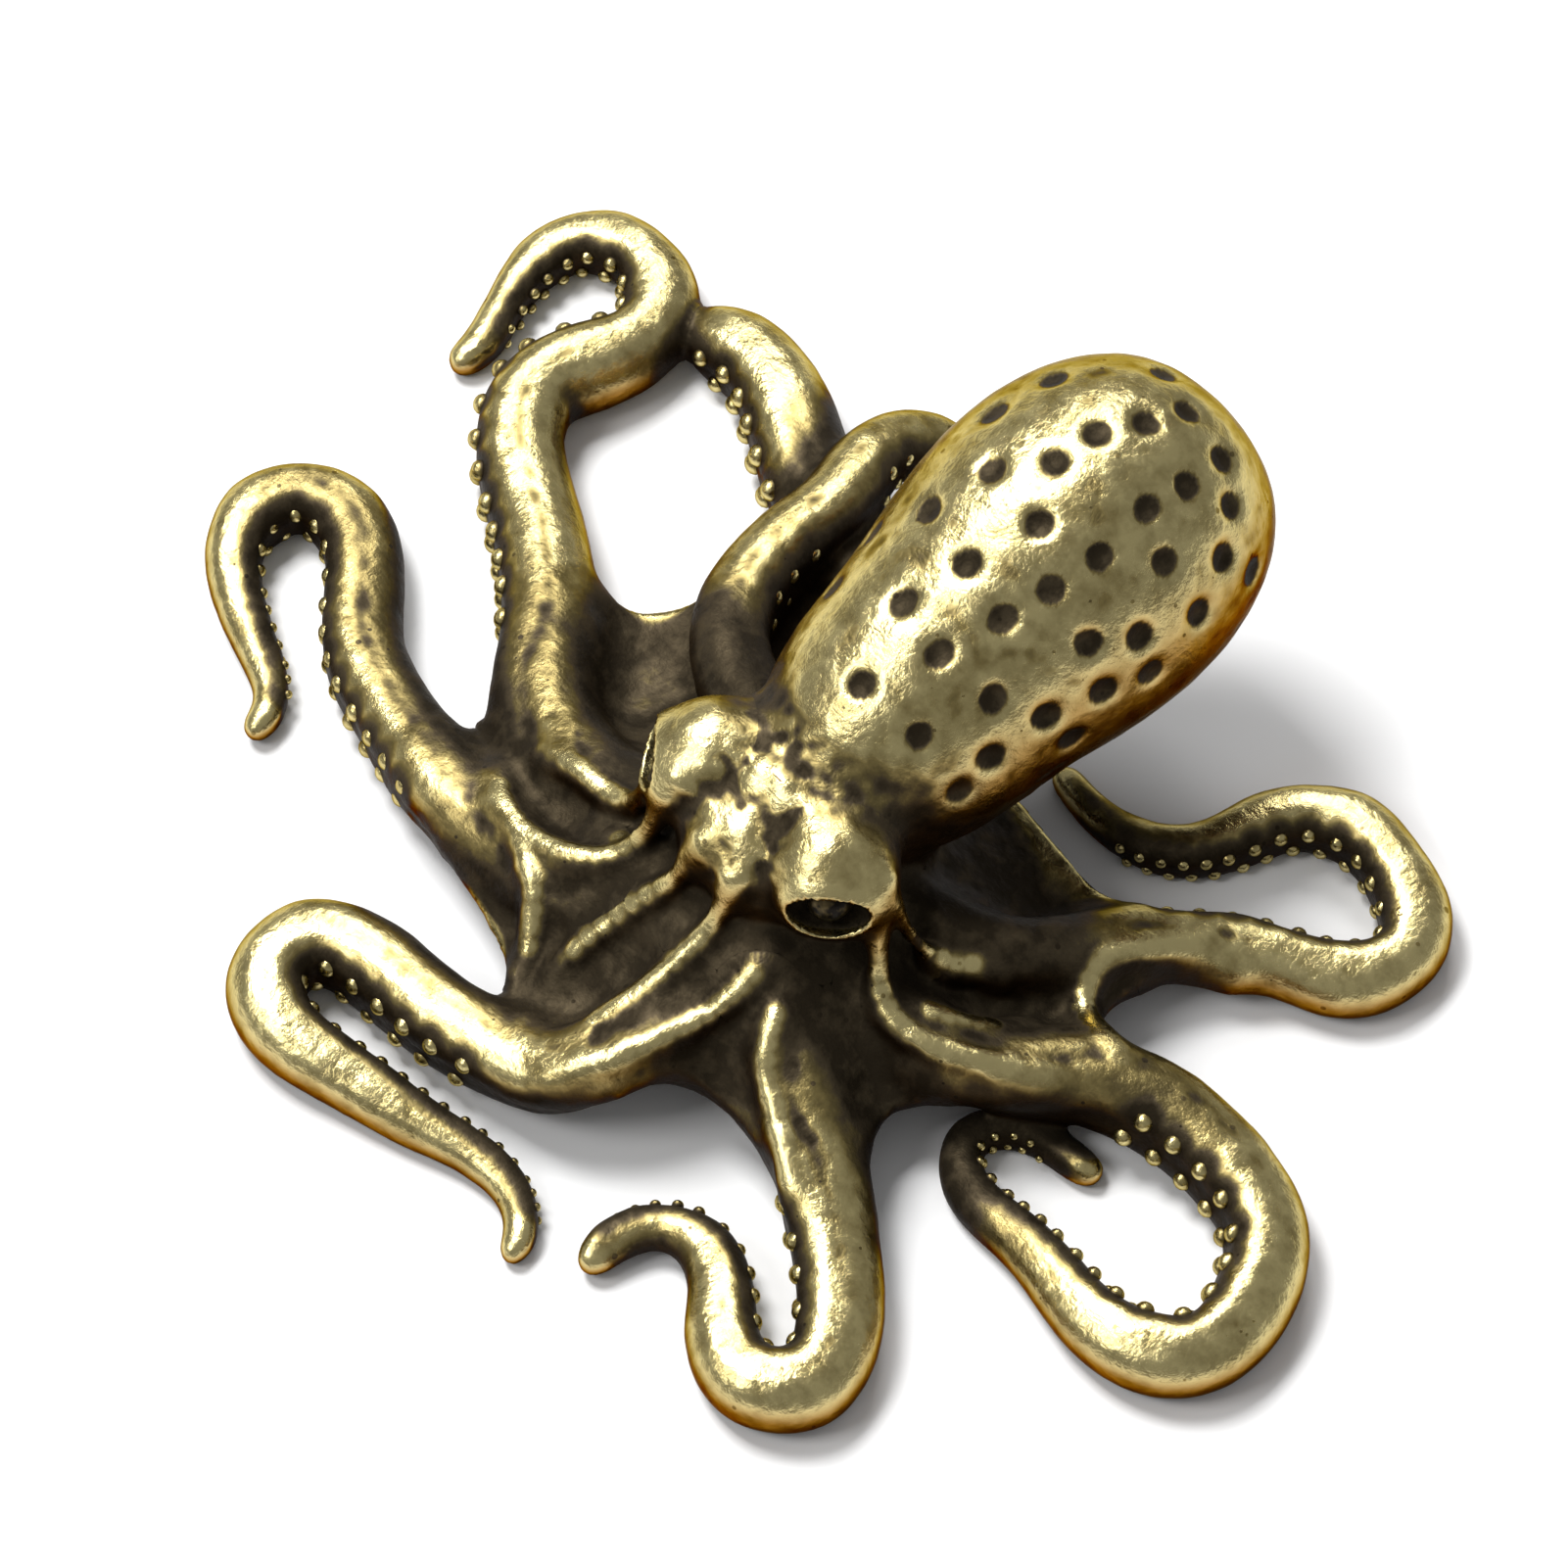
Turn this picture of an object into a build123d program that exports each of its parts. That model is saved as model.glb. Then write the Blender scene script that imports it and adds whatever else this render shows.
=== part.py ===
from build123d import *
from dataclasses import dataclass, field
import math
import os

# Octopus ornament in solid brass, in millimetres, +Z up. The face looks along -Y and the
# mantle points along +Y, tipped up. The pieces are made about the point on the ground below
# the eyes, and are moved at the end so that the whole stands centred over the origin.

# Shared by the cuts
cut_overrun = 2.0
ground_span_share = 4.0

# Mantle, a blunt egg turned about its own tilted axis
mantle_length = 19.15
mantle_radius = 6.47
mantle_tilt = 12.4
mantle_root_length = 3.0
neck_radius = 4.15
neck_height = 8.7
neck_setback = 3.6

# The mantle's outline in shares: its radius at the root over the neck's, then how far each
# later station stands along it, and how far the first has swelled and the last has shrunk
root_radius_share = 0.72
swell_place_share = 0.28
swell_share = 0.58
widest_place_share = 0.61
blunt_place_share = 0.85
blunt_radius_share = 0.83

# Dimples pressed all over the mantle
dimple_ball_radius = 1.0
dimple_depth = 0.3

# Head: an egg on the mantle's axis, a round base, and two eye knobs
head_radius = 3.0
head_length = 8.4
head_base_radius = 5.0
head_base_floor = 3.5
head_base_top = 8.6
head_back_share = 0.17
head_middle_share = 0.5
base_foot_share = 0.88
base_widest_place_share = 0.3
base_upper_share = 0.62
base_upper_place_share = 0.78
base_foot_slope_shares = (0.5, 1.0)
eye_knob_radius = 2.35
eye_spacing = 6.3
eye_height = 8.9

# Eye sockets, and the dark pellets seated in them
socket_radius = 1.25
socket_depth = 1.6
pellet_radius = 0.92
pellet_seat_depth = 0.35

# The way each eye looks: outward, forward and up
gaze_shares = (0.66, -0.7, 0.22)

# Web, a shallow bell with a scalloped rim
web_crown_height = 6.3
web_shoulder_height = 3.2
web_rim_height = 2.3
web_crown_radius = 3.4
web_shoulder_radius = 8.4
web_rim_radius = 19.0
web_rim_thickness = 1.0
web_hub_floor = 2.0
web_hub_radius = 10.0
web_crown_drop_share = 0.4
web_rim_slope_shares = (1.0, -0.05)

# Arms: the reach sizes their routes in plan, the lift their height at the head
arm_reach = 24.7
arm_lift = 4.4
rest_pad_depth = 0.25
section_step = 2.3

# An arm's section, in shares of its thickness there: a round back and a flatter sucker side
across_share = 0.55
back_share = 0.56
belly_share = 0.52
back_fullness_share = 0.73
belly_fullness_share = 0.8
tip_rounding_share = 0.55
tip_middle_share = 0.4
tip_middle_fullness_share = 0.8
tip_end_share = 0.35

# Suckers in two staggered rows, in shares of the arm's thickness where each one sits
sucker_radius_share = 0.14
sucker_pitch_share = 0.42
sucker_row_share = 0.2
first_sucker_share = 0.3
last_sucker_share = 0.95
sucker_ground_gap = 0.1


@dataclass
class Arm:
    """One arm: its thickness, the side its suckers face, its route and its taper."""

    thickness: float
    sucker_side: int
    route_shares: list
    roll: float = 90.0
    roll_done_share: float = 0.3
    sucker_seat_share: float = 0.86
    taper_shares: list = field(
        default_factory=lambda: [0.62, 0.9, 1.0, 0.97, 0.93, 0.88, 0.75, 0.55, 0.36]
    )


# Each route point is x and y in shares of the reach, and its lift in shares of the arm lift.
# A sucker side of 1 is to the left of the arm's travel from head to tip, and -1 to the right.
arms = {
    "arm_front": Arm(
        thickness=2.7,
        sucker_side=1,
        route_shares=[
            (0.03, -0.125, 1.0), (0.065, -0.26, 0.72), (0.04, -0.375, 0.48), (-0.015, -0.43, 0.28),
            (-0.1, -0.455, 0.14), (-0.225, -0.475, 0.06), (-0.355, -0.48, 0.0), (-0.445, -0.52, 0.0),
            (-0.45, -0.6, 0.0), (-0.375, -0.65, 0.0), (-0.245, -0.635, 0.0), (-0.1, -0.6, 0.0),
            (0.02, -0.575, 0.02), (0.11, -0.6, 0.03), (0.14, -0.665, 0.04),
        ],
        taper_shares=[0.62, 0.9, 1.05, 1.12, 1.1, 0.98, 0.8, 0.58, 0.38],
    ),
    "arm_front_left": Arm(
        thickness=3.05,
        sucker_side=1,
        route_shares=[
            (-0.09, -0.095, 1.0), (-0.15, -0.165, 0.78), (-0.24, -0.21, 0.52), (-0.34, -0.21, 0.36),
            (-0.46, -0.215, 0.26), (-0.59, -0.19, 0.14), (-0.715, -0.155, 0.05), (-0.815, -0.1, 0.0),
            (-0.9, -0.02, 0.0), (-0.99, 0.02, 0.0), (-1.065, 0.0, 0.0), (-1.09, -0.09, 0.0),
            (-1.005, -0.185, 0.0), (-0.905, -0.23, 0.03), (-0.83, -0.27, 0.05), (-0.805, -0.345, 0.08),
        ],
    ),
    "arm_left": Arm(
        thickness=3.4,
        sucker_side=1,
        sucker_seat_share=0.94,
        route_shares=[
            (-0.13, -0.005, 1.0), (-0.2, -0.035, 0.9), (-0.275, -0.06, 0.72), (-0.375, -0.06, 0.5),
            (-0.495, -0.01, 0.32), (-0.6, 0.09, 0.18), (-0.705, 0.175, 0.08), (-0.83, 0.25, 0.0),
            (-0.92, 0.315, 0.0), (-0.96, 0.395, 0.0), (-0.94, 0.49, 0.0), (-0.925, 0.58, 0.0),
            (-0.975, 0.655, 0.0), (-1.07, 0.68, 0.0), (-1.14, 0.64, 0.0), (-1.155, 0.555, 0.02),
            (-1.13, 0.465, 0.03), (-1.105, 0.39, 0.03), (-1.11, 0.335, 0.05),
        ],
    ),
    "arm_rear_left": Arm(
        thickness=2.7,
        sucker_side=-1,
        route_shares=[
            (-0.105, 0.075, 1.0), (-0.18, 0.125, 0.95), (-0.26, 0.18, 0.88), (-0.345, 0.225, 0.75),
            (-0.415, 0.315, 0.64), (-0.445, 0.44, 0.6), (-0.46, 0.57, 0.56), (-0.49, 0.68, 0.45),
            (-0.445, 0.76, 0.25), (-0.34, 0.775, 0.08), (-0.24, 0.735, 0.0), (-0.16, 0.665, 0.0),
            (-0.1, 0.6, 0.0),
        ],
    ),
    "arm_rear": Arm(
        thickness=3.35,
        sucker_side=1,
        sucker_seat_share=0.94,
        route_shares=[
            (-0.01, 0.13, 1.0), (-0.03, 0.22, 0.8), (-0.085, 0.33, 0.5), (-0.18, 0.425, 0.22),
            (-0.3, 0.5, 0.05), (-0.44, 0.54, 0.0), (-0.57, 0.59, 0.0), (-0.665, 0.64, 0.0),
            (-0.745, 0.67, 0.0), (-0.825, 0.67, 0.0), (-0.9, 0.635, 0.0),
        ],
        taper_shares=[0.5, 0.72, 0.85, 0.95, 1.0, 1.0, 1.0, 0.9, 0.7],
    ),
    "arm_rear_right": Arm(
        thickness=2.5,
        sucker_side=1,
        route_shares=[
            (0.11, 0.065, 1.0), (0.205, 0.12, 0.88), (0.315, 0.19, 0.65), (0.375, 0.3, 0.38),
            (0.45, 0.42, 0.16), (0.545, 0.505, 0.06), (0.65, 0.585, 0.0), (0.665, 0.67, 0.0),
            (0.58, 0.745, 0.0), (0.465, 0.765, 0.0), (0.37, 0.705, 0.0), (0.33, 0.595, 0.0),
            (0.26, 0.525, 0.0), (0.14, 0.51, 0.0), (0.06, 0.525, 0.0),
        ],
        taper_shares=[0.62, 0.9, 1.0, 1.0, 1.0, 1.0, 0.92, 0.7, 0.42],
    ),
    "arm_right": Arm(
        thickness=3.0,
        sucker_side=-1,
        roll=105.0,
        sucker_seat_share=0.94,
        route_shares=[
            (0.13, -0.01, 1.0), (0.2, -0.02, 0.85), (0.305, -0.02, 0.65), (0.42, 0.03, 0.42),
            (0.505, 0.13, 0.26), (0.605, 0.19, 0.14), (0.745, 0.21, 0.04), (0.865, 0.18, 0.0),
            (0.945, 0.07, 0.0), (0.95, -0.04, 0.0), (0.875, -0.1, 0.0), (0.755, -0.105, 0.0),
            (0.645, -0.09, 0.0), (0.525, -0.085, 0.0), (0.455, -0.04, 0.0), (0.465, 0.025, 0.02),
            (0.54, 0.06, 0.03), (0.63, 0.075, 0.05),
        ],
        taper_shares=[0.6, 0.85, 1.0, 0.97, 0.95, 0.9, 0.68, 0.5, 0.36],
    ),
    "arm_front_right": Arm(
        thickness=3.15,
        sucker_side=-1,
        route_shares=[
            (0.085, -0.1, 1.0), (0.145, -0.14, 0.82), (0.22, -0.165, 0.58), (0.31, -0.21, 0.32),
            (0.4, -0.265, 0.14), (0.485, -0.32, 0.04), (0.57, -0.395, 0.0), (0.61, -0.475, 0.0),
            (0.58, -0.535, 0.0), (0.5, -0.545, 0.0), (0.425, -0.49, 0.0), (0.35, -0.445, 0.02),
            (0.275, -0.45, 0.04), (0.235, -0.51, 0.06), (0.245, -0.59, 0.06),
        ],
    ),
}

# The web's rim, going round from the front arm: the arm that each cusp lies under, the cusp's
# place along that arm's route, and the foot of the scallop after it in shares of the reach.
rim_shares = [
    ("arm_front", 0.2, (0.128, -0.3)),
    ("arm_front_right", 0.33, (0.375, -0.085)),
    ("arm_right", 0.25, (0.45, 0.275)),
    ("arm_rear_right", 0.33, (0.2, 0.4)),
    ("arm_rear", 0.55, (-0.4, 0.58)),
    ("arm_rear_left", 0.6, (-0.51, 0.26)),
    ("arm_left", 0.4, (-0.52, -0.115)),
    ("arm_front_left", 0.4, (-0.165, -0.365)),
]

# The place on the ground where the left arm's outer bend rests, in shares of the reach
rest_pad_shares = (-0.96, 0.395)

# Dimples seen on one half of the mantle: the place along it as a share of its length, and the
# angle about its axis in degrees from +X. The other half has the same ones, turned half round.
dimple_shares = [
    (0.08, 88), (0.09, 53), (0.09, 18), (0.17, 24), (0.2, 145), (0.22, 73), (0.24, 45), (0.245, 99),
    (0.3, 24), (0.32, 4), (0.33, 148), (0.35, 66), (0.375, 90), (0.41, 119), (0.415, 18), (0.44, 39),
    (0.45, 62), (0.51, 11), (0.52, 81), (0.525, 28), (0.54, 108), (0.56, 59), (0.63, 93), (0.64, 130),
    (0.65, 18), (0.65, 43), (0.69, 60), (0.73, 91), (0.755, 26), (0.77, 126), (0.785, 56), (0.8, 6),
    (0.815, 83), (0.835, 37), (0.885, 52), (0.9, 78), (0.935, 105),
]


def route_points(arm):
    """The arm's route as points, each as high as its lift and its own thickness put it."""
    flat = [Vector(x * arm_reach, y * arm_reach, 0) for x, y, _ in arm.route_shares]
    run = [0.0]
    for before, after in zip(flat, flat[1:]):
        run.append(run[-1] + (after - before).length)
    points = []
    for place, (_, _, lift), so_far in zip(flat, arm.route_shares, run):
        half_height = across_share * taper(arm, so_far / run[-1])
        points.append(place + Vector(0, 0, lift * arm_lift + half_height - rest_pad_depth))
    return points


def taper(arm, share):
    """The arm's thickness at a share of its length, between the values in its table."""
    steps = len(arm.taper_shares) - 1
    index = min(int(share * steps), steps - 1)
    low, high = arm.taper_shares[index], arm.taper_shares[index + 1]
    return arm.thickness * (low + (high - low) * (share * steps - index))


def frame_at(arm, route, share):
    """The plane across the arm at a share of its length, with +Y towards its round back."""
    heading = route.tangent_at(share)
    left = Vector(0, 0, 1).cross(heading).normalized()
    upward = heading.cross(left)
    roll = math.radians(arm.roll) * min(share / arm.roll_done_share, 1.0)
    back = upward * math.cos(roll) - left * (arm.sucker_side * math.sin(roll))
    return Plane(origin=route.position_at(share), x_dir=back.cross(heading), z_dir=heading)


def section(thickness):
    """An arm's section in its own plane: a round back over a flatter sucker side."""
    across = across_share * thickness
    back = back_share * thickness
    belly = belly_share * thickness
    back_mid = (across * back_fullness_share, back * back_fullness_share)
    belly_mid = (across * belly_fullness_share, -belly * belly_fullness_share)
    edges = [
        ThreePointArc((across, 0), back_mid, (0, back)),
        ThreePointArc((0, back), (-back_mid[0], back_mid[1]), (-across, 0)),
        ThreePointArc((-across, 0), (-belly_mid[0], belly_mid[1]), (0, -belly)),
        ThreePointArc((0, -belly), belly_mid, (across, 0)),
    ]
    return make_face(Curve() + edges)


def arm_stations(arm, route):
    """Where the arm has a section, as shares of its length, and how full each one is there."""
    tip = tip_rounding_share * taper(arm, 1.0) / route.length
    count = math.ceil((1.0 - tip) * route.length / section_step)
    evenly = [((1.0 - tip) * i / count, 1.0) for i in range(count + 1)]
    rounded = (1.0 - tip * tip_middle_share, tip_middle_fullness_share)
    return evenly + [rounded, (1.0, tip_end_share)]


def arm_blank(arm, route):
    """The whole arm, before it is cut to meet the head and the ground."""
    sections = []
    for share, fullness in arm_stations(arm, route):
        sections.append(frame_at(arm, route, share) * section(taper(arm, share) * fullness))
    return loft(sections)


def stands_clear(place, radius, neighbours):
    """Whether a sucker of this radius would reach into none of the neighbours."""
    reach = Vector(radius, radius, radius)
    for shape, box in neighbours:
        lows, highs = box.min - reach, box.max + reach
        near = all(low <= at <= high for low, at, high in zip(lows, place, highs))
        if near and shape.distance_to(Vertex(*place)) <= radius:
            return False
    return True


def sucker_row(arm, route, neighbours):
    """Every sucker on one arm that has room: clear of the others, the ground and the rest."""
    placed = []
    beads = []
    steps = math.ceil(route.length / (arm.thickness * sucker_radius_share))
    side = 1
    for i in range(steps + 1):
        share = first_sucker_share + (last_sucker_share - first_sucker_share) * i / steps
        thickness = taper(arm, share)
        plane = frame_at(arm, route, share)
        offset = side * sucker_row_share * thickness
        depth = belly_share * arm.sucker_seat_share * thickness
        place = plane.from_local_coords(Vector(offset, -depth, 0))
        radius = sucker_radius_share * thickness
        clear = all((place - other).length >= sucker_pitch_share * thickness for other in placed)
        clear = clear and place.Z >= radius + sucker_ground_gap
        if clear and stands_clear(place, radius, neighbours):
            placed.append(place)
            beads.append(Pos(*place) * Solid.make_sphere(radius))
            side = -side
    return Compound(beads)


def mantle_axis():
    """The mantle's axis as a plane: its +Z runs from the neck to the tip."""
    tilt = math.radians(mantle_tilt)
    return Plane(
        origin=(0, neck_setback, neck_height),
        x_dir=(1, 0, 0),
        z_dir=(0, math.cos(tilt), math.sin(tilt)),
    )


def mantle_profile():
    """The mantle's outline as (radius, place along its axis), from its root to its tip."""
    swell = mantle_radius - neck_radius
    return [
        (neck_radius * root_radius_share, -mantle_root_length),
        (neck_radius, 0),
        (neck_radius + swell * swell_share, mantle_length * swell_place_share),
        (mantle_radius, mantle_length * widest_place_share),
        (mantle_radius * blunt_radius_share, mantle_length * blunt_place_share),
        (0, mantle_length),
    ]


def mantle_outline():
    """The mantle's outer line in its own axial plane, one smooth curve."""
    return Spline(*mantle_profile(), tangents=[(0, 1), (-1, 0)])


def mantle_solid():
    """The egg, with dimples pressed into it."""
    outline = mantle_outline()
    root = (0, -mantle_root_length)
    edges = [outline, Line(outline @ 1, root), Line(root, outline @ 0)]
    egg = revolve(Plane.XZ * make_face(Curve() + edges), Axis.Z)
    return mantle_axis() * (egg - dimple_balls(outline))


def dimple_balls(outline):
    """A ball for each dimple, standing out of the egg so that it cuts to the dimple depth."""
    ball = Sphere(dimple_ball_radius)
    balls = []
    for share, angle in dimple_shares:
        place = outline_at(outline, share * mantle_length)
        outward = (outline % place).rotate(Axis.Z, -90)
        centre = (outline @ place) + outward * (dimple_ball_radius - dimple_depth)
        for turn in (angle, angle + 180):
            balls.append(Rot(0, 0, -turn) * Pos(centre.X, 0, centre.Y) * ball)
    return balls


def outline_at(outline, along):
    """The outline's own parameter where it stands this far along the mantle's axis."""
    low, high = 0.0, 1.0
    for _ in range(30):
        middle = (low + high) / 2
        if (outline @ middle).Y < along:
            low = middle
        else:
            high = middle
    return low


def head_solid(pellets):
    """The head's egg, base and eye knobs in one, hollowed for the sockets and pellets."""
    front = mantle_axis() * head_egg()
    knobs = [eye_centre(side) * Sphere(eye_knob_radius) for side in (-1, 1)]
    whole = front + head_base() + knobs
    openings = [socket_plane(side) * Sphere(socket_radius) for side in (-1, 1)]
    return whole - openings - pellets


def head_egg():
    """The front of the head, on the mantle's axis and running back into its neck."""
    back = head_length * head_back_share
    edges = Spline(
        (0, back - head_length),
        (head_radius, back - head_length * head_middle_share),
        (0, back),
        tangents=[(1, 0), (-1, 0)],
    )
    return revolve(Plane.XZ * make_face(Curve() + [edges, Line(edges @ 1, edges @ 0)]), Axis.Z)


def head_base():
    """The round base that the arms grow from, seated in the web."""
    height = head_base_top - head_base_floor
    side = Spline(
        (head_base_radius * base_foot_share, head_base_floor),
        (head_base_radius, head_base_floor + height * base_widest_place_share),
        (head_base_radius * base_upper_share, head_base_floor + height * base_upper_place_share),
        (0, head_base_top),
        tangents=[base_foot_slope_shares, (-1, 0)],
    )
    foot = (0, head_base_floor)
    edges = [side, Line(side @ 1, foot), Line(foot, side @ 0)]
    return revolve(Plane.XZ * make_face(Curve() + edges), Axis.Z)


def eye_centre(side):
    """Where one eye knob is centred: side is -1 for the left eye and 1 for the right."""
    return Pos(side * eye_spacing / 2, 0, eye_height)


def socket_plane(side):
    """The middle of one socket's mouth, facing out along the way the eye looks."""
    look = Vector(side * gaze_shares[0], gaze_shares[1], gaze_shares[2]).normalized()
    centre = Vector(side * eye_spacing / 2, 0, eye_height)
    mouth = eye_knob_radius + socket_radius - socket_depth
    return Plane(origin=centre + look * mouth, z_dir=look)


def pellet_solid(side):
    """The dark ball in one socket, sunk into the socket's floor by its seat."""
    depth = socket_radius - pellet_radius + pellet_seat_depth
    return socket_plane(side) * Pos(0, 0, -depth) * Sphere(pellet_radius)


def web_solid(neighbours):
    """The bell, trimmed to its scalloped rim and cut by the arms and head that it joins."""
    outer = Spline(
        (0, web_crown_height),
        (web_crown_radius, web_crown_height - web_rim_thickness * web_crown_drop_share),
        (web_shoulder_radius, web_shoulder_height),
        (web_rim_radius, web_rim_height),
        tangents=[(1, 0), web_rim_slope_shares],
    )
    lip = (web_rim_radius, web_rim_height - web_rim_thickness)
    hub = (web_hub_radius, web_hub_floor)
    foot = (0, web_hub_floor)
    edges = [outer, Line(outer @ 1, lip), Line(lip, hub), Line(hub, foot), Line(foot, outer @ 0)]
    bell = revolve(Plane.XZ * make_face(Curve() + edges), Axis.Z)
    return (bell & rim_prism()) - neighbours


def rim_prism():
    """A prism with the web's outline: one curve for each scallop, from cusp to cusp."""
    cusps = []
    for name, along_share, _ in rim_shares:
        place = routes[name].position_at(along_share)
        cusps.append(Vector(place.X, place.Y))
    scallops = []
    for i, (_, _, foot_share) in enumerate(rim_shares):
        start, end = cusps[i], cusps[(i + 1) % len(cusps)]
        foot = Vector(*foot_share) * arm_reach
        scallops.append(Bezier(start, foot * 2 - (start + end) / 2, end))
    return extrude(make_face(Curve() + scallops), web_crown_height + cut_overrun)


def ground_block():
    """Everything below the ground that the ornament rests on."""
    side = ground_span_share * arm_reach
    return Box(side, side, arm_reach, align=(Align.CENTER, Align.CENTER, Align.MAX))


def largest(shape):
    """The largest solid of a cut shape."""
    return max(shape.solids(), key=lambda solid: solid.volume)


def ends(shapes):
    """The lowest and highest corner of the shapes that reach furthest each way."""
    boxes = [shape.bounding_box() for shape in shapes]
    low = Vector(*(min(tuple(box.min)[i] for box in boxes) for i in range(3)))
    high = Vector(*(max(tuple(box.max)[i] for box in boxes) for i in range(3)))
    return low, high


os.makedirs("parts", exist_ok=True)
routes = {name: Spline(*route_points(arm)) for name, arm in arms.items()}
pieces = {"mantle": mantle_solid()}
pieces["eye_left"] = pellet_solid(-1)
pieces["eye_right"] = pellet_solid(1)
head = head_solid([pieces["eye_left"], pieces["eye_right"]]) - pieces["mantle"]
pieces["head"] = largest(head)

for name, arm in arms.items():
    cutters = [pieces["head"], pieces["mantle"], ground_block()]
    pieces[name] = largest(arm_blank(arm, routes[name]) - cutters)
pieces["arm_rear_left"] = largest(pieces["arm_rear_left"] - pieces["arm_rear"])
pieces["arm_rear"] = largest(pieces["arm_rear"] - pieces["arm_left"])
pieces["arm_front_right"] = largest(pieces["arm_front_right"] - pieces["arm_front"])
pieces["web"] = largest(web_solid([pieces[name] for name in ["head", "mantle", *arms]]))

boxes = {name: pieces[name].bounding_box() for name in ["web", *arms]}
for name, arm in arms.items():
    others = [(pieces[other], box) for other, box in boxes.items() if other != name]
    pieces[name.replace("arm", "suckers", 1)] = sucker_row(arm, routes[name], others)

low, high = ends(pieces[name] for name in ["mantle", *arms])
middle = Pos(-(low.X + high.X) / 2, -(low.Y + high.Y) / 2)
rest = middle * Pos(*(Vector(*rest_pad_shares) * arm_reach))
print("rest pad", rest.position)
for name, shape in pieces.items():
    export_step(middle * shape, f"parts/{name}.step")
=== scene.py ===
"""Octopus ornament in cast, patinated and polished brass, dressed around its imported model.

The casting is one flowing skin: arms swell out of the web and the eye knobs out of the head
with no seam. Its named pieces are therefore blended as one distance field in millimetres and
cut apart again along the lines where they meet, so that each piece is closed and its surface
runs on into its neighbour's. Beads, eyes and studio are ordinary mesh work.
"""

from __future__ import annotations

import logging
import math
from dataclasses import dataclass
from enum import Enum

import bmesh
import bpy
import numpy as np
import openvdb as vdb
from mathutils import Matrix, Vector
from mathutils.kdtree import KDTree

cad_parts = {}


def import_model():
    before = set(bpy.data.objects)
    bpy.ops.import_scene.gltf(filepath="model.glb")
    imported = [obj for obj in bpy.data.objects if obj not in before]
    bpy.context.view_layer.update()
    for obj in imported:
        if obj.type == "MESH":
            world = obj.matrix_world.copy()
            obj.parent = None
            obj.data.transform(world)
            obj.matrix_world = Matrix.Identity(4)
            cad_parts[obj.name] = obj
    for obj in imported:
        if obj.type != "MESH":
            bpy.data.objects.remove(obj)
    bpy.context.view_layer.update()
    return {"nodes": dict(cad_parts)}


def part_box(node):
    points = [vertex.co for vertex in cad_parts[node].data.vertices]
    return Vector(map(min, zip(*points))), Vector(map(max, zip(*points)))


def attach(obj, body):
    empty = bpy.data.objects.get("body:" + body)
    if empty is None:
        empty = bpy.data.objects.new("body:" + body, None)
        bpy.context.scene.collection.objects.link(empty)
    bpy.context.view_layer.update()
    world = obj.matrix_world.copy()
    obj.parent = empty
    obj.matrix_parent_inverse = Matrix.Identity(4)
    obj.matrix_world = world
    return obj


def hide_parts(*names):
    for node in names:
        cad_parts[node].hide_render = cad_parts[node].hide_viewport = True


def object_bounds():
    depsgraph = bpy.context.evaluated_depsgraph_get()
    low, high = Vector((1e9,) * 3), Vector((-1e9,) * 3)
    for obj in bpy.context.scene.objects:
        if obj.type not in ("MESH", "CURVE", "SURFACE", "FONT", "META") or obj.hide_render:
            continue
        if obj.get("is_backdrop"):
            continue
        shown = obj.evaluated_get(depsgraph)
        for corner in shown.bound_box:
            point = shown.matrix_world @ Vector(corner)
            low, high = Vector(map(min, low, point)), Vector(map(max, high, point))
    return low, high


log = logging.getLogger("octopus")

MM = 0.001
BODY = "root"
ARM_NAMES = (
    "front", "front_left", "left", "rear_left", "rear", "rear_right", "right", "front_right",
)


class CastNode(Enum):
    """The nodes that the one casting is cut into."""

    MANTLE = "mantle"
    HEAD = "head"
    WEB = "web"
    ARM_FRONT = "arm_front"
    ARM_FRONT_LEFT = "arm_front_left"
    ARM_LEFT = "arm_left"
    ARM_REAR_LEFT = "arm_rear_left"
    ARM_REAR = "arm_rear"
    ARM_REAR_RIGHT = "arm_rear_right"
    ARM_RIGHT = "arm_right"
    ARM_FRONT_RIGHT = "arm_front_right"


def linear(hex_colour: str) -> tuple[float, float, float, float]:
    """Turn an sRGB hex colour into the linear values that a shader takes.

    Args:
        hex_colour: The colour as six hex digits after a hash.

    Returns:
        Red, green, blue and an alpha of one.
    """
    parts = [int(hex_colour[i : i + 2], 16) / 255.0 for i in (1, 3, 5)]
    low = [p / 12.92 if p <= 0.04045 else ((p + 0.055) / 1.055) ** 2.4 for p in parts]
    return (low[0], low[1], low[2], 1.0)


def smooth_step(low: float, high: float, values: np.ndarray) -> np.ndarray:
    """Rise from 0 to 1 with level ends.

    Args:
        low: Where the rise starts.
        high: Where it ends.
        values: What is measured against both.

    Returns:
        The rise at each value.
    """
    t = np.clip((values - low) / (high - low), 0.0, 1.0)
    return t * t * (3.0 - 2.0 * t)


def smooth_min(a: np.ndarray, b: np.ndarray, reach: float) -> np.ndarray:
    """Join two distance fields with a fillet.

    Args:
        a: One field, negative inside.
        b: The other field.
        reach: How far from both surfaces the fillet starts, in millimetres.

    Returns:
        The joined field.
    """
    overlap = np.maximum(reach - np.abs(a - b), 0.0) / reach
    return np.minimum(a, b) - overlap * overlap * (reach * 0.25)


def smooth_max(a: np.ndarray, b: np.ndarray, reach: float) -> np.ndarray:
    """Cut one distance field by another with a rounded edge."""
    return -smooth_min(-a, -b, reach)


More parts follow.
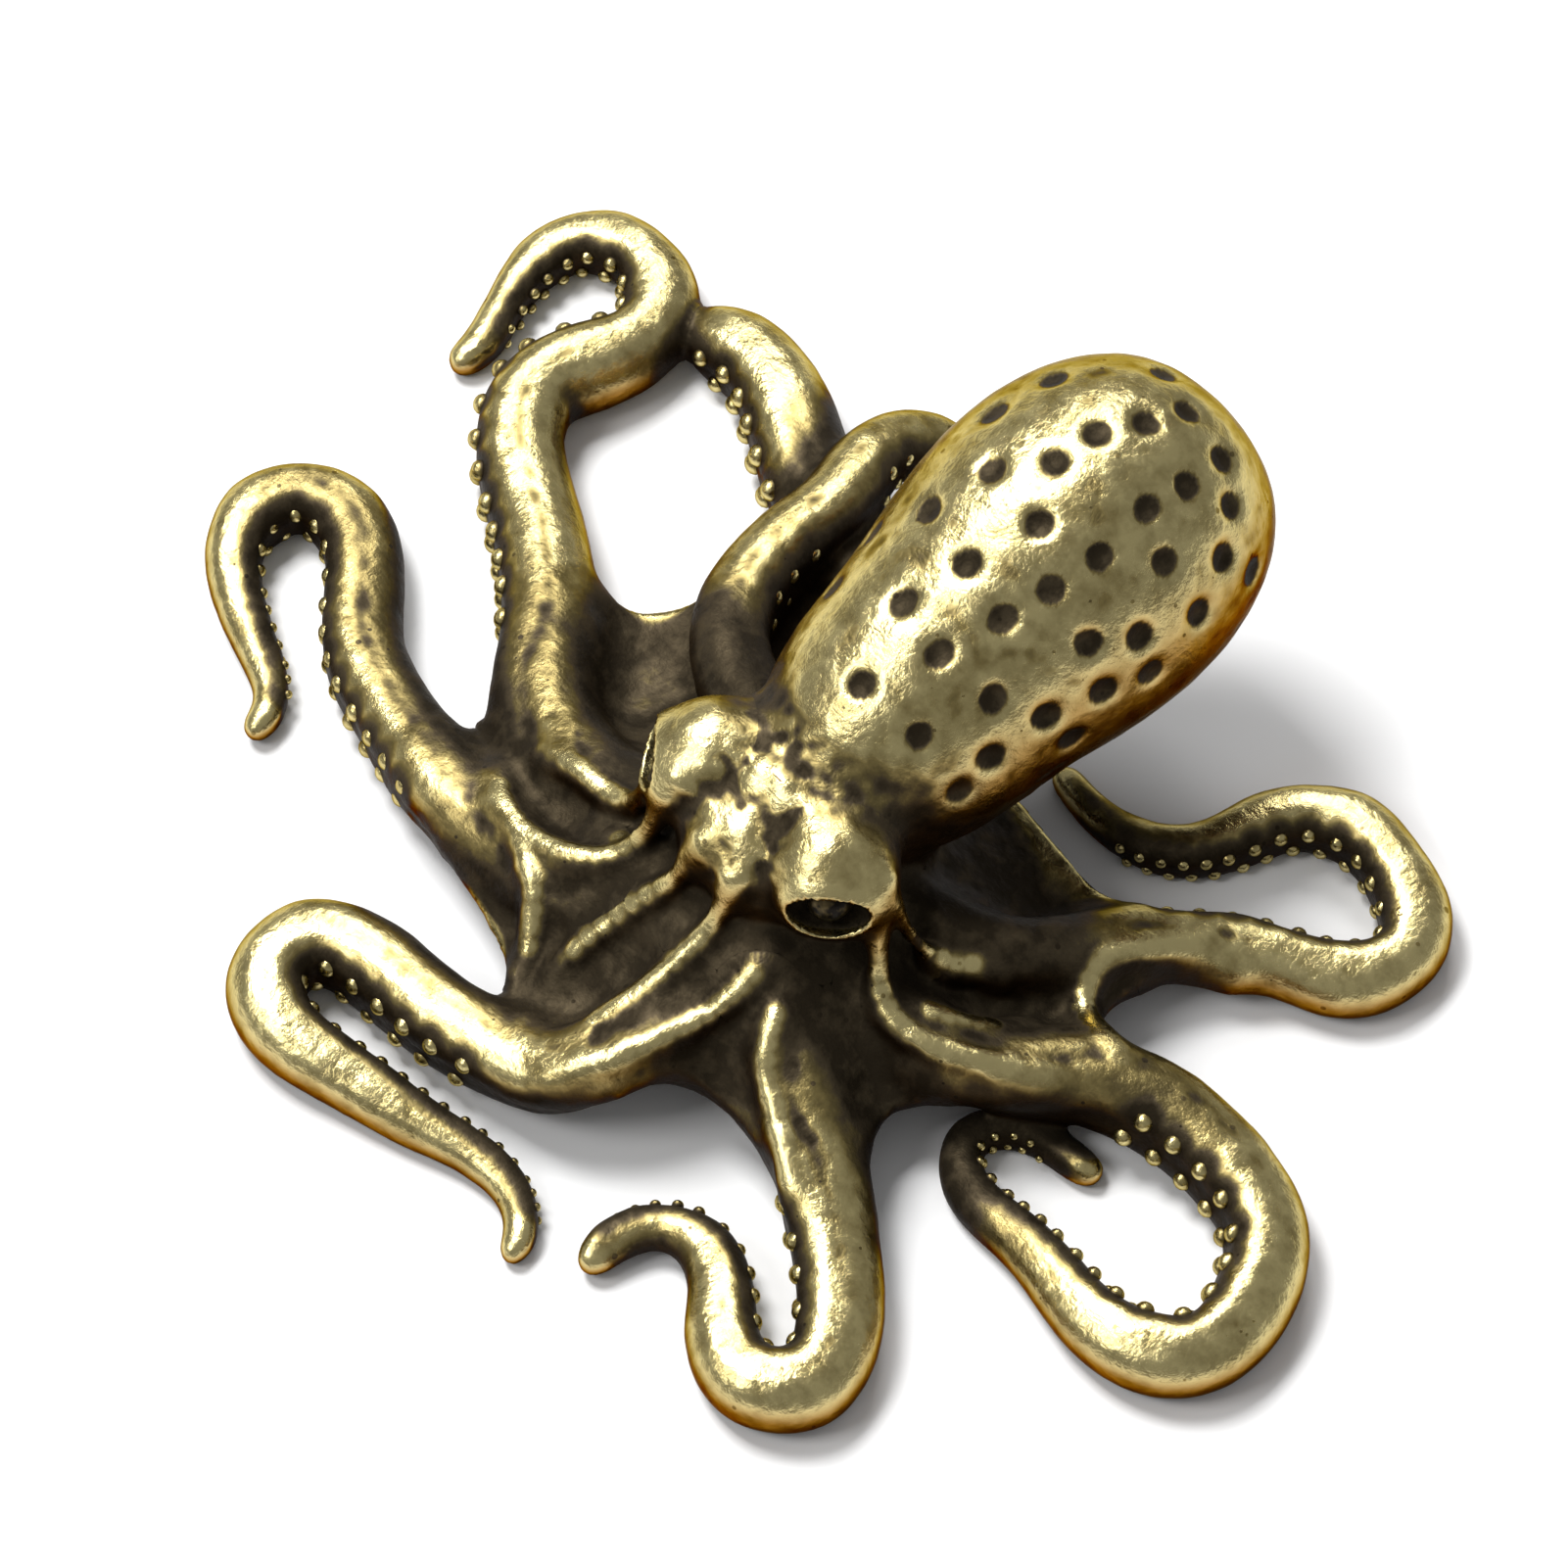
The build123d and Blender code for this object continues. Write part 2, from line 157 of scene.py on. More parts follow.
@dataclass
class Grid:
    """The box of voxels that the casting is worked out in, in millimetres.

    Args:
        low: Its lowest corner.
        high: Its highest corner.
        voxel: The side of one voxel.
        band: How many voxels each side of a surface hold true distances.
    """

    low: np.ndarray
    high: np.ndarray
    voxel: float
    band: int

    def __post_init__(self) -> None:
        """Snap the corners to whole voxels."""
        self.start = np.floor(self.low / self.voxel).astype(int)
        self.shape = tuple(np.ceil(self.high / self.voxel).astype(int) - self.start + 1)

    @property
    def far(self) -> float:
        """The distance that every voxel outside the band has."""
        return self.band * self.voxel

    def axes(self, place: tuple[slice, slice, slice]) -> list[np.ndarray]:
        """Coordinates of a part of the grid, shaped so that they broadcast.

        Args:
            place: The part, as slices of the grid.

        Returns:
            X, Y and Z in millimetres.
        """
        out = []
        for i, part in enumerate(place):
            line = (np.arange(part.start, part.stop) + self.start[i]) * self.voxel
            form = [1, 1, 1]
            form[i] = len(line)
            out.append(line.reshape(form).astype(np.float32))
        return out

    def window(self, low: np.ndarray, high: np.ndarray, margin: float) -> tuple[slice, ...]:
        """The slices that hold a box and a margin round it.

        Args:
            low: The box's lowest corner in millimetres.
            high: Its highest corner.
            margin: The room left all round.

        Returns:
            The slices, cut off at the grid's ends.
        """
        a = np.floor((np.asarray(low) - margin) / self.voxel).astype(int) - self.start
        b = np.ceil((np.asarray(high) + margin) / self.voxel).astype(int) - self.start + 1
        a = np.maximum(a, 0)
        b = np.minimum(b, self.shape)
        return tuple(slice(int(i), int(j)) for i, j in zip(a, b))

    def from_mesh(self, mesh: bpy.types.Mesh) -> tuple[tuple[slice, ...], np.ndarray]:
        """The distance field of a closed mesh.

        Args:
            mesh: A mesh in metres whose faces point outwards.

        Returns:
            The part of the grid that it fills, and the distances there.
        """
        mesh.calc_loop_triangles()
        points = np.empty(len(mesh.vertices) * 3, np.float32)
        mesh.vertices.foreach_get("co", points)
        points = points.reshape(-1, 3) / MM
        faces = np.empty(len(mesh.loop_triangles) * 3, np.int32)
        mesh.loop_triangles.foreach_get("vertices", faces)
        level = vdb.FloatGrid.createLevelSetFromPolygons(
            points,
            triangles=faces.reshape(-1, 3).astype(np.uint32),
            transform=vdb.createLinearTransform(voxelSize=self.voxel),
            halfWidth=float(self.band),
        )
        place = self.window(points.min(0), points.max(0), self.far)
        values = np.empty([s.stop - s.start for s in place], np.float32)
        level.copyToArray(values, ijk=tuple(int(s.start + b) for s, b in zip(place, self.start)))
        return place, values

    def sample(self, field_values: np.ndarray, points: np.ndarray) -> np.ndarray:
        """Read a field between its voxels.

        Args:
            field_values: A field over the whole grid.
            points: Places in millimetres, one a row.

        Returns:
            The field at each place.
        """
        at = points / self.voxel - self.start
        limit = np.array(self.shape) - 1.001
        at = np.clip(at, 0.0, limit)
        base = at.astype(int)
        part = at - base
        total = np.zeros(len(points))
        for corner in range(8):
            step = np.array([(corner >> i) & 1 for i in range(3)])
            weight = np.prod(np.where(step, part, 1.0 - part), axis=1)
            i, j, k = (base + step).T
            total += weight * field_values[i, j, k]
        return total

    def slope(self, field_values: np.ndarray, points: np.ndarray) -> np.ndarray:
        """The way that a field rises.

        Args:
            field_values: A field over the whole grid.
            points: Places in millimetres, one a row.

        Returns:
            A unit vector at each place.
        """
        out = np.empty_like(points)
        for i in range(3):
            step = np.zeros(3)
            step[i] = self.voxel
            out[:, i] = self.sample(field_values, points + step)
            out[:, i] -= self.sample(field_values, points - step)
        return out / np.maximum(np.linalg.norm(out, axis=1, keepdims=True), 1e-9)

    def nearest(self, field_values: np.ndarray, points: np.ndarray) -> np.ndarray:
        """Read a field at the nearest voxels.

        Args:
            field_values: A field over the whole grid.
            points: Places in millimetres, one a row.

        Returns:
            The field at each place's nearest voxel.
        """
        at = np.rint(points / self.voxel).astype(int) - self.start
        i, j, k = np.clip(at, 0, np.array(self.shape) - 1).T
        return field_values[i, j, k]

    def lumpy(self, cell: float, seed: int) -> np.ndarray:
        """Smooth random relief between -1 and 1 over the whole grid.

        Args:
            cell: The size of one lump in millimetres.
            seed: Which relief it is.

        Returns:
            The relief at each voxel.
        """
        steps = [int(n * self.voxel / cell) + 3 for n in self.shape]
        out = np.random.default_rng(seed).uniform(-1.0, 1.0, steps).astype(np.float32)
        for axis, n in enumerate(self.shape):
            at = np.arange(n) * self.voxel / cell
            base = at.astype(int)
            form = [1, 1, 1]
            form[axis] = n
            part = smooth_step(0.0, 1.0, at - base).astype(np.float32).reshape(form)
            low = np.take(out, base, axis=axis)
            out = low + (np.take(out, base + 1, axis=axis) - low) * part
        return out

    def surface(self, values: np.ndarray, place: tuple[slice, ...]) -> tuple[np.ndarray, ...]:
        """The zero surface of a part of the grid.

        Args:
            values: The field there.
            place: Which part of the grid it is.

        Returns:
            Points in millimetres, and four-sided faces that point outwards.
        """
        level = vdb.FloatGrid(self.far)
        level.transform = vdb.createLinearTransform(voxelSize=self.voxel)
        start = tuple(int(s.start + b) for s, b in zip(place, self.start))
        level.copyFromArray(np.clip(values, -self.far, self.far), ijk=start)
        level.gridClass = vdb.GridClass.LEVEL_SET
        points, quads = level.convertToQuads(isovalue=0.0)
        a, b, c, d = (points[quads[:, i]] for i in range(4))
        volume = np.einsum("ij,ij->i", a, np.cross(b, c) + np.cross(c, d)).sum()
        if volume < 0:
            quads = quads[:, ::-1]
        return points.astype(float), quads.astype(int)


def apart(x: np.ndarray, y: np.ndarray, z: np.ndarray, middle: np.ndarray) -> np.ndarray:
    """How far each place of a grid is from one point."""
    return np.sqrt((x - middle[0]) ** 2 + (y - middle[1]) ** 2 + (z - middle[2]) ** 2)


def facing_back(azimuth: float, elevation: float) -> Vector:
    """The way from the ornament to a thing that looks at it.

    Args:
        azimuth: Degrees round from the face, towards the right of the picture.
        elevation: Degrees up from the floor.

    Returns:
        A unit vector.
    """
    a, e = math.radians(azimuth), math.radians(elevation)
    return Vector((math.sin(a) * math.cos(e), -math.cos(a) * math.cos(e), math.sin(e)))


def add_object(name: str, data: bpy.types.ID) -> bpy.types.Object:
    """Put a new object with this mesh, lamp or camera into the scene."""
    thing = bpy.data.objects.new(name, data)
    bpy.context.scene.collection.objects.link(thing)
    return thing


def blur(values: np.ndarray, radius: int, rounds: int) -> np.ndarray:
    """Soften a field with repeated box averages, which come close to a Gaussian.

    Args:
        values: The field.
        radius: How many voxels each average reaches to each side.
        rounds: How many times it is done.

    Returns:
        The softened field.
    """
    out = values.astype(np.float32)
    width = 2 * radius + 1
    for _ in range(rounds):
        for axis in range(3):
            pad = [(0, 0)] * 3
            pad[axis] = (radius + 1, radius)
            total = np.cumsum(np.pad(out, pad, mode="edge"), axis=axis, dtype=np.float64)
            high = np.take(total, np.arange(width, total.shape[axis]), axis=axis)
            low = np.take(total, np.arange(0, total.shape[axis] - width), axis=axis)
            out = ((high - low) / width).astype(np.float32)
    return out


def lumps(points: np.ndarray, cell: float, seed: int) -> np.ndarray:
    """Smooth random relief between -1 and 1.

    Args:
        points: Places in millimetres, one a row.
        cell: The size of one lump.
        seed: Which relief it is.

    Returns:
        The relief at each place.
    """
    source = np.random.default_rng(seed).uniform(-1.0, 1.0, (64, 64, 64))
    at = points / cell + 17.0
    base = np.floor(at).astype(int)
    part = at - base
    part = part * part * (3.0 - 2.0 * part)
    total = np.zeros(len(points))
    for corner in range(8):
        step = np.array([(corner >> i) & 1 for i in range(3)])
        weight = np.prod(np.where(step, part, 1.0 - part), axis=1)
        i, j, k = ((base + step) % 64).T
        total += weight * source[i, j, k]
    return total


@dataclass(frozen=True)
class Fold:
    """A rounded ridge that runs over the web in plan, rising and sinking at its ends.

    Args:
        points: Its line, as X and Y in millimetres.
        radius: Half its width.
        rise: How far its crest stands out of the web.
    """

    points: tuple[tuple[float, float], ...]
    radius: float
    rise: float


@dataclass(frozen=True)
class Grain:
    """One size of cast unevenness in the skin.

    Args:
        cell: The size of its lumps in millimetres.
        seed: Which relief it is.
        everywhere: Its depth on the whole skin, in millimetres.
        saddle: What the rough saddle between the eyes adds to that.
        web: What the web near the head adds.
    """

    cell: float
    seed: int
    everywhere: float
    saddle: float = 0.0
    web: float = 0.0


@dataclass
class Casting:
    """The blended body of the octopus and the pieces that it is cut into, in millimetres."""

    frame_nodes: dict[str, bpy.types.Object]
    voxel: float = 0.15
    band: int = 10
    grid_margin: float = 0.9
    field_margin: float = 0.8
    web_fillet: float = 1.7
    head_fillet: float = 1.5
    neck_fillet: float = 1.6
    knob_fillet: float = 0.9
    ridge_fillet: float = 0.8
    arm_contact_fillet: float = 0.5
    no_fillet: float = 0.01
    gaze: tuple[float, float, float] = (0.66, -0.7, 0.22)
    pellet_offset: float = 1.32
    knob_radius: float = 2.3
    socket_sizes: tuple[float, float, float] = (1.5, 0.95, 1.0)
    socket_reach: float = 1.75
    lip_thickness: float = 0.26
    lip_fillet: float = 0.5
    rim_rounding: float = 0.25
    opening_advance: float = 0.3
    skin_offset: float = 0.06
    saddle_reach: tuple[float, float] = (1.5, 5.0)
    web_height: tuple[float, float] = (5.0, 7.0)
    web_reach: tuple[float, float] = (9.0, 12.0)
    grains: tuple[Grain, ...] = (
        Grain(2.1, 3, 0.03),
        Grain(0.75, 5, 0.016, 0.06, 0.02),
        Grain(0.4, 7, 0.006, 0.035, 0.012),
    )
    fold_step: float = 0.5
    folds: tuple[Fold, ...] = (
        Fold(((-9.5, -2.5), (-6.2, -2.6), (-3.0, -2.0)), 0.4, 0.45),
        Fold(((-10.6, -3.9), (-10.0, -4.9), (-7.1, -5.6), (-4.3, -4.8), (-3.1, -2.4)), 0.45, 0.55),
        Fold(((-3.3, -8.2), (-2.5, -5.5), (-1.2, -3.6), (-0.6, -2.9)), 0.42, 0.55),
        Fold(((-0.4, -9.6), (0.5, -6.7), (1.1, -4.1), (1.1, -3.0)), 0.42, 0.5),
        Fold(((0.2, -11.2), (1.9, -9.5), (2.8, -6.5), (3.5, -4.1), (3.2, -3.1)), 0.4, 0.45),
        Fold(((-5.8, -3.6), (-4.4, -3.4), (-3.0, -3.6)), 0.35, 0.3),
        Fold(((4.4, -3.4), (5.5, -5.8), (7.5, -6.6), (9.6, -7.8)), 0.4, 0.4),
        Fold(((5.2, 0.6), (6.1, -0.8), (7.9, -1.4), (10.3, -0.2), (12.5, 1.8)), 0.45, 0.5),
        Fold(((5.6, 0.6), (6.5, 1.7), (8.3, 3.5)), 0.35, 0.4),
        Fold(((7.2, -0.3), (9.3, 0.7), (10.0, 3.0)), 0.35, 0.3),
        Fold(((11.8, 10.4), (10.3, 7.6), (10.0, 5.9), (11.3, 5.0), (13.4, 4.6)), 0.4, 0.4),
        Fold(((-9.0, -5.0), (-5.5, -6.6), (-4.0, -8.8)), 0.4, 0.45),
        Fold(((5.0, 2.7), (6.8, 2.8)), 0.35, 0.35),
    )

    def __post_init__(self) -> None:
        """Measure the nodes, find the eye knobs by their pellets and make the empty grid."""
        low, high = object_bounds()
        margin = np.full(3, self.grid_margin)
        self.grid = Grid(
            np.array(low) / MM - margin, np.array(high) / MM + margin, self.voxel, self.band
        )
        self.parts: dict[str, tuple[tuple[slice, ...], np.ndarray]] = {}
        self.total = np.full(self.grid.shape, self.grid.far, np.float32)
        self.eyes: list[tuple[np.ndarray, np.ndarray]] = []
        for side, name in ((-1.0, "eye_left"), (1.0, "eye_right")):
            look = np.array((side * self.gaze[0], self.gaze[1], self.gaze[2]))
            look /= np.linalg.norm(look)
            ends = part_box(name)
            pellet = (np.array(ends[0]) + np.array(ends[1])) / (2.0 * MM)
            self.eyes.append((pellet - look * self.pellet_offset, look))
        self.brow = (self.eyes[0][0] + self.eyes[1][0]) / 2.0
        self.crests: list[np.ndarray] = []

    def read_nodes(self) -> None:
        """Turn each CAD node of the casting into its distance field."""
        for node in CastNode:
            bm = bmesh.new()
            bm.from_mesh(self.frame_nodes[node.value].data)
            bmesh.ops.remove_doubles(bm, verts=bm.verts, dist=1e-6)
            copy = bpy.data.meshes.new("field_source")
            bm.to_mesh(copy)
            bm.free()
            self.parts[node.value] = self.grid.from_mesh(copy)
            bpy.data.meshes.remove(copy)

    def join(self, name: str, reach: float) -> None:
        """Add one node's field to the whole, with a fillet of this reach."""
        place, values = self.parts[name]
        self.total[place] = smooth_min(self.total[place], values, reach)

    def add_ball(self, middle: np.ndarray, radius: float, reach: float) -> None:
        """Add a ball to the whole with a fillet.

        Args:
            middle: Its middle in millimetres.
            radius: Its radius.
            reach: How far off the fillet starts.
        """
        place = self.grid.window(middle - radius, middle + radius, self.grid.far)
        gap = apart(*self.grid.axes(place), middle) - radius
        self.total[place] = smooth_min(self.total[place], gap, reach)

    def almond(self, middle: np.ndarray, look: np.ndarray, grow: float) -> tuple[tuple, np.ndarray]:
        """The field of an eye's opening: wide, low and rounded, deeper than it is high.

        Args:
            middle: Its middle in millimetres.
            look: The way that the eye looks.
            grow: How much larger than the opening it is all round.

        Returns:
            The part of the grid that it fills, and the distances there.
        """
        across = np.cross((0.0, 0.0, 1.0), look)
        across /= np.linalg.norm(across)
        sizes = np.array(self.socket_sizes) + grow
        place = self.grid.window(middle - sizes.max(), middle + sizes.max(), self.field_margin)
        x, y, z = self.grid.axes(place)
        dx, dy, dz = x - middle[0], y - middle[1], z - middle[2]
        share = np.zeros_like(dx + dy + dz)
        for way, size in zip((across, np.cross(look, across), look), sizes):
            share = share + ((dx * way[0] + dy * way[1] + dz * way[2]) / size) ** 2
        return place, (np.sqrt(share) - 1.0) * sizes.min()

    def open_eye(self, middle: np.ndarray, look: np.ndarray) -> None:
        """Raise a thin lip on the knob and cut the eye's opening out of it.

        Args:
            middle: The knob's middle in millimetres.
            look: The way that the eye looks.
        """
        mouth = middle + look * self.socket_reach
        place, lip = self.almond(mouth, look, self.lip_thickness)
        self.total[place] = smooth_min(self.total[place], lip, self.lip_fillet)
        place, hole = self.almond(mouth + look * self.opening_advance, look, 0.0)
        self.total[place] = smooth_max(self.total[place], -hole, self.rim_rounding)

    def node_field(self, name: str) -> np.ndarray:
        """One node's own field over the whole grid."""
        out = np.full(self.grid.shape, self.grid.far, np.float32)
        place, values = self.parts[name]
        out[place] = values
        return out

    def crown_heights(self) -> np.ndarray:
        """The height of the casting's top over each place in plan, before any folds."""
        inside = self.total < 0.0
        top = inside.shape[2] - 1 - np.argmax(inside[:, :, ::-1], axis=2)
        heights = (top + self.grid.start[2]) * self.voxel
        return np.where(inside.any(axis=2), heights, 0.0)

    def add_fold(self, fold: Fold, heights: np.ndarray) -> None:
        """Lay one ridge over the web, as short capsules that follow its crown.

        Args:
            fold: The ridge, whose line is measured from the brow.
            heights: The casting's top over each place in plan.
        """
        line = np.array(fold.points) + self.brow[:2]
        steps = [line[0]]
        for a, b in zip(line, line[1:]):
            count = max(2, int(np.linalg.norm(b - a) / self.fold_step))
            steps.extend(a + (b - a) * i / count for i in range(1, count + 1))
        plan = np.array(steps)
        self.relax(plan, 6)
        at = (plan / self.voxel).astype(int) - self.grid.start[:2]
        i, j = np.clip(at, 0, np.array(heights.shape) - 1).T
        level = heights[i, j]
        self.relax(level, 4)
        share = np.linspace(0.0, 1.0, len(plan))
        swell = np.minimum(1.0, 4.0 * np.minimum(share, 1.0 - share)) ** 0.7
        level = level + (fold.rise - fold.radius) * swell - fold.radius * (1.0 - swell)
        points = np.column_stack([plan, level])
        self.crests.extend(points[2:-2] + np.array((0.0, 0.0, fold.radius)))
        for a, b in zip(points, points[1:]):
            self.add_capsule(a, b, fold.radius)

    def relax(self, line: np.ndarray, rounds: int) -> None:
        """Smooth a row of values in place, its two ends held."""
        for _ in range(rounds):
            line[1:-1] = line[1:-1] * 0.5 + (line[:-2] + line[2:]) * 0.25

    def add_capsule(self, a: np.ndarray, b: np.ndarray, radius: float) -> None:
        """Add a short round bar to the whole with a fillet.

        Args:
            a: The middle of one end, in millimetres.
            b: The middle of the other end.
            radius: Half the bar's thickness.
        """
        low, high = np.minimum(a, b) - radius, np.maximum(a, b) + radius
        place = self.grid.window(low, high, self.field_margin)
        x, y, z = self.grid.axes(place)
        run = b - a
        length = float(run @ run)
        along = (x - a[0]) * run[0] + (y - a[1]) * run[1] + (z - a[2]) * run[2]
        t = np.clip(along / length, 0.0, 1.0)
        gap = apart(x - t * run[0], y - t * run[1], z - t * run[2], a)
        laid = smooth_min(self.base[place], gap - radius, self.ridge_fillet)
        self.total[place] = np.minimum(self.total[place], laid)

    def build(self) -> None:
        """Blend the nodes, then add what the casting shows beyond them."""
        self.read_nodes()
        self.join("web", self.no_fillet)
        for name in ARM_NAMES:
            self.join(f"arm_{name}", self.web_fillet if name != "rear" else self.arm_contact_fillet)
        self.join("head", self.head_fillet)
        for middle, _ in self.eyes:
            self.add_ball(middle, self.knob_radius, self.knob_fillet)
        self.join("mantle", self.neck_fillet)
        self.base = self.total.copy()
        heights = self.crown_heights()
        for fold in self.folds:
            self.add_fold(fold, heights)
        self.total = blur(self.total, 1, 2)
        self.roughen()
        for middle, look in self.eyes:
            self.open_eye(middle, look)
        log.info("casting blended on a grid of %s voxels", self.grid.shape)

    def roughen(self) -> None:
        """Give the skin a cast unevenness, strongest on the saddle between the eyes."""
        x, y, z = self.grid.axes(tuple(slice(0, n) for n in self.grid.shape))
        rough = 1.0 - smooth_step(*self.saddle_reach, apart(x, y, z, self.brow))
        low = 1.0 - smooth_step(*self.web_height, z)
        in_plan = np.sqrt((x - self.brow[0]) ** 2 + (y - self.brow[1]) ** 2)
        near = low * (1.0 - smooth_step(*self.web_reach, in_plan))
        self.total += self.skin_offset
        for grain in self.grains:
            depth = grain.everywhere + grain.saddle * rough + grain.web * near
            self.total += depth * self.grid.lumpy(grain.cell, grain.seed)

    def pieces(self) -> list[tuple[str, np.ndarray, np.ndarray]]:
        """Cut the casting into its named pieces.

        Returns:
            For each node its name, its points in millimetres and its faces.
        """
        nearest = np.full(self.grid.shape, self.grid.far * 2.0, np.float32)
        second = nearest.copy()
        for place, values in self.parts.values():
            best, rest = nearest[place], second[place]
            second[place] = np.minimum(rest, np.maximum(best, values))
            nearest[place] = np.minimum(best, values)
        out = []
        for name, (place, values) in self.parts.items():
            others = np.where(values <= nearest[place], second[place], nearest[place])
            cell = (values - others) * 0.5
            piece = np.maximum(self.total[place], cell)
            points, faces = self.grid.surface(piece, place)
            whole_cell = np.full(self.grid.shape, self.grid.far, np.float32)
            whole_cell[place] = cell
            out.append((name, self.sharpen(points, whole_cell), faces))
        return out

    def sharpen(self, points: np.ndarray, cell: np.ndarray) -> np.ndarray:
        """Move the points by a cut onto the line where it meets the skin, none below ground.

        Args:
            points: A piece's points in millimetres, one a row.
            cell: The field whose zero is the cut.

        Returns:
            The points, moved by little more than a voxel at most.
        """
        moved = points.copy()
        skin = self.grid.sample(self.total, points)
        wall = self.grid.sample(cell, points)
        by_the_line = 0.75 * self.voxel
        near = (np.abs(skin) < by_the_line) & (np.abs(wall) < by_the_line)
        spot = moved[near]
        for _ in range(3):
            for values in (self.total, cell):
                amount = self.grid.sample(values, spot)
                step = self.grid.slope(values, spot)
                spot = spot - step * np.clip(amount, -0.1, 0.1)[:, None]
        limit = 1.2 * self.voxel
        shift = np.clip(spot - moved[near], -limit, limit)
        moved[near] += shift
        moved[:, 2] = np.maximum(moved[:, 2], 0.0)
        return moved


@dataclass(frozen=True)
class Wear:
    """What the polishing has done at each point of a skin, with painted shade and a painted warm
    reflection where it turns down, all between 0 and 1.

    Args:
        polish: How far the dark patina has been rubbed off, less where the skin turns down, which is
            painted shade.
        edge: How sharp a crest or rim the point is on.
        under: How far the skin there turns down, which sets a painted warm reflection and painted
            shade.
    """

    polish: np.ndarray
    edge: np.ndarray
    under: np.ndarray


@dataclass
class PatinaAndPaintedShade:
    """Works out where polish has reached and where the dark patina stays, where the skin is kept
    darker near the brow and in two given spots of the web, and the painted shade and painted
    warm reflection on skin that turns down.

    Lengths are in millimetres, and places are measured from the brow. Each pair is a range in
    which an effect rises.
    """

    casting: Casting
    beads: list[np.ndarray]
    rays: int = 40
    ray_lift: float = 0.12
    ray_clearance: float = 0.3
    reaches: tuple[float, ...] = (0.5, 1.0, 2.0, 3.5)
    hollow: tuple[float, float] = (-0.016, 0.002)
    sharp: tuple[float, float] = (0.018, 0.045)
    open_share: tuple[float, float] = (0.66, 0.97)
    bead_ring: tuple[float, float] = (0.55, 1.15)
    crest_width: tuple[float, float] = (0.2, 0.6)
    arm_reach: tuple[float, float] = (6.0, 11.0)
    back_height: tuple[float, float] = (6.0, 7.8)
    # Painted shade: polish is taken off where the skin turns down, over this range of downward tilt.
    painted_shade_turn: tuple[float, float] = (0.35, 0.8)
    # Painted warm reflection and painted shade rise over this range of downward tilt.
    painted_reflection_facing: tuple[float, float] = (-0.72, 0.0)
    saddle: tuple[float, float, float] = (0.0, -1.9, -0.8)
    saddle_reach: tuple[float, float] = (0.9, 2.5)
    # Two given spots of the web where polish is kept low, so the skin there stays darker.
    dark_places: tuple[tuple[float, float, float], ...] = ((-9.5, 4.2, 3.6), (6.5, 5.5, 4.0))
    dark_share: tuple[float, float] = (0.6, 1.1)
    dark_height: tuple[float, float] = (6.0, 7.0)
    web_polish: float = 0.12
    edge_polish: float = 0.95
    saddle_polish: float = 0.4
    bead_darkening: float = 0.9

    def __post_init__(self) -> None:
        """Soften the field: what it gains at the skin tells hollows from crests."""
        self.fine = blur(self.casting.total, 1, 3)
        self.bead_tree = self.tree_of(self.beads)
        self.crest_tree = self.tree_of(self.casting.crests)
        turn = np.arange(self.rays)
        height = 1.0 - (2.0 * turn + 1.0) / self.rays
        side = np.sqrt(1.0 - height * height)
        angle = turn * math.pi * (3.0 - math.sqrt(5.0))
        self.ways = np.column_stack([side * np.cos(angle), side * np.sin(angle), height])

    def tree_of(self, places: list[np.ndarray]) -> KDTree:
        """A tree that finds the nearest of some places."""
        tree = KDTree(len(places))
        for i, place in enumerate(places):
            tree.insert(Vector(place), i)
        tree.balance()
        return tree

    def openness(self, points: np.ndarray, normals: np.ndarray) -> np.ndarray:
        """How much of the room each point of the skin faces.

        Args:
            points: Places in millimetres, one a row.
            normals: The way that the skin faces there.

        Returns:
            A share from 0, shut in, to 1, open.
        """
        grid = self.casting.grid
        seen = np.zeros(len(points))
        whole = np.full(len(points), 1e-6)
        for way in self.ways:
            facing = normals @ way
            front = np.nonzero(facing > 0.1)[0]
            clear = np.ones(len(front))
            for reach in self.reaches:
                spots = points[front] + normals[front] * self.ray_lift + way * reach
                gap = grid.nearest(self.casting.total, spots)
                clear = np.minimum(clear, np.clip(gap / (self.ray_clearance * reach), 0.0, 1.0))
            seen[front] += clear * facing[front]
            whole[front] += facing[front]
        return seen / whole

    def at(self, points: np.ndarray, normals: np.ndarray) -> Wear:
        """Work out the wear, the painted shade and the painted warm reflection at points of the skin.

        Args:
            points: Places in millimetres, one a row.
            normals: The way that the skin faces there.

        Returns:
            The wear, with its painted shade and painted warm reflection, at each.
        """
        brow = self.casting.brow
        height = points[:, 2]
        fine = self.casting.grid.sample(self.fine, points)
        bead_gap = np.array([self.bead_tree.find(Vector(p))[2] for p in points])
        crest_gap = np.array([self.crest_tree.find(Vector(p))[2] for p in points])
        ring = 1.0 - smooth_step(*self.bead_ring, bead_gap)
        crest = 1.0 - smooth_step(*self.crest_width, crest_gap)
        edge = np.maximum(smooth_step(*self.sharp, fine), crest)
        away = np.linalg.norm(points[:, :2] - brow[:2], axis=1)
